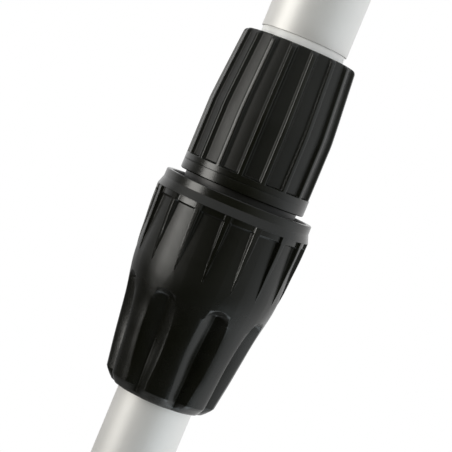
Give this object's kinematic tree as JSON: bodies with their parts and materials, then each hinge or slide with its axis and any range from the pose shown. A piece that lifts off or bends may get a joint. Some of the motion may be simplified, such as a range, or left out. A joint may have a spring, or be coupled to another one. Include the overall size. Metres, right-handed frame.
{
  "type": "boom pole",
  "caption": "Telescopic microphone boom pole with satin aluminium tubes, ribbed black twist locks, a foam hand grip and a threaded tip stud.",
  "frame": {"origin": "centre of the butt cap's rest face, on the tubes' axis", "axes": "+Z along the pole from the butt to the stud, +X and +Y across it"},
  "size_m": [0.0448, 0.0448, 0.6641],
  "materials": {
    "anodised_tube": "satin clear anodised",
    "black_plastic": "semi-gloss moulded",
    "dark_plastic": "matt moulded",
    "clear_nylon": "milky satin",
    "white_nylon": "natural nylon",
    "foam": "closed-cell foam",
    "rubber_cap": "matt",
    "seal_rubber": "matt",
    "plain_aluminium": "machined",
    "black_anodised": "satin black anodised",
    "steel": "nickel plated"
  },
  "bodies": {
    "handle": {"handle_tube": "anodised_tube", "butt_cap": "rubber_cap", "butt_insert": "plain_aluminium", "butt_screw": "steel", "foam_grip": "foam", "grip_collar": "black_plastic", "spacer_1": "clear_nylon", "sleeve_1": "black_plastic", "sleeve_ring_1": "black_plastic", "lock_body_1": "dark_plastic", "collet_1": "white_nylon"},
    "lock_1_clamp": {"clamp_ring_1": "white_nylon"},
    "lock_1_knob": {"knob_1": "black_plastic", "knob_rim_1": "black_plastic", "wiper_1": "seal_rubber"},
    "middle_slider": {"middle_bush": "white_nylon"},
    "middle_section": {"middle_tube": "anodised_tube", "spacer_2": "clear_nylon", "sleeve_2": "black_plastic", "sleeve_ring_2": "black_plastic", "lock_body_2": "dark_plastic", "collet_2": "white_nylon"},
    "lock_2_clamp": {"clamp_ring_2": "white_nylon"},
    "lock_2_knob": {"knob_2": "black_plastic", "knob_rim_2": "black_plastic", "wiper_2": "seal_rubber"},
    "tip_slider": {"tip_bush": "white_nylon"},
    "tip_section": {"tip_tube": "anodised_tube", "tip_insert": "black_anodised", "stud": "steel"},
    "washer": {"jam_washer": "seal_rubber"},
    "nut": {"jam_nut": "steel"}
  },
  "joints": [
    {"name": "middle_slide", "type": "slide", "parent": "handle", "child": "middle_slider", "axis": [0, 0, 1], "range_m": [-0.055, 0.26]},
    {"name": "middle_turn", "type": "hinge", "parent": "middle_slider", "child": "middle_section", "pos_m": [0, 0, 0.092], "axis": [0, 0, 1], "continuous": true},
    {"name": "lock_1_travel", "type": "slide", "parent": "handle", "child": "lock_1_clamp", "axis": [0, 0, 1], "range_m": [0, 0.00125]},
    {"name": "lock_1_turn", "type": "hinge", "parent": "lock_1_clamp", "child": "lock_1_knob", "pos_m": [0, 0, 0.4], "axis": [0, 0, 1], "range_deg": [0, 150]},
    {"name": "tip_slide", "type": "slide", "parent": "middle_section", "child": "tip_slider", "axis": [0, 0, 1], "range_m": [-0.04, 0.34]},
    {"name": "tip_turn", "type": "hinge", "parent": "tip_slider", "child": "tip_section", "pos_m": [0, 0, 0.154], "axis": [0, 0, 1], "continuous": true},
    {"name": "lock_2_travel", "type": "slide", "parent": "middle_section", "child": "lock_2_clamp", "axis": [0, 0, 1], "range_m": [0, 0.00108]},
    {"name": "lock_2_turn", "type": "hinge", "parent": "lock_2_clamp", "child": "lock_2_knob", "pos_m": [0, 0, 0.5556], "axis": [0, 0, 1], "range_deg": [0, 150]},
    {"name": "washer_travel", "type": "slide", "parent": "tip_section", "child": "washer", "axis": [0, 0, 1], "range_m": [0, 0.0064]},
    {"name": "nut_turn", "type": "hinge", "parent": "washer", "child": "nut", "pos_m": [0, 0, 0.64507], "axis": [0, 0, 1], "range_deg": [0, 1440]}
  ],
  "couplings": [
    {"joint": "lock_1_travel", "follows": "lock_1_turn", "m_per_rad": 0.00047746},
    {"joint": "lock_2_travel", "follows": "lock_2_turn", "m_per_rad": 0.00041236},
    {"joint": "washer_travel", "follows": "nut_turn", "m_per_rad": 0.00025266}
  ]
}
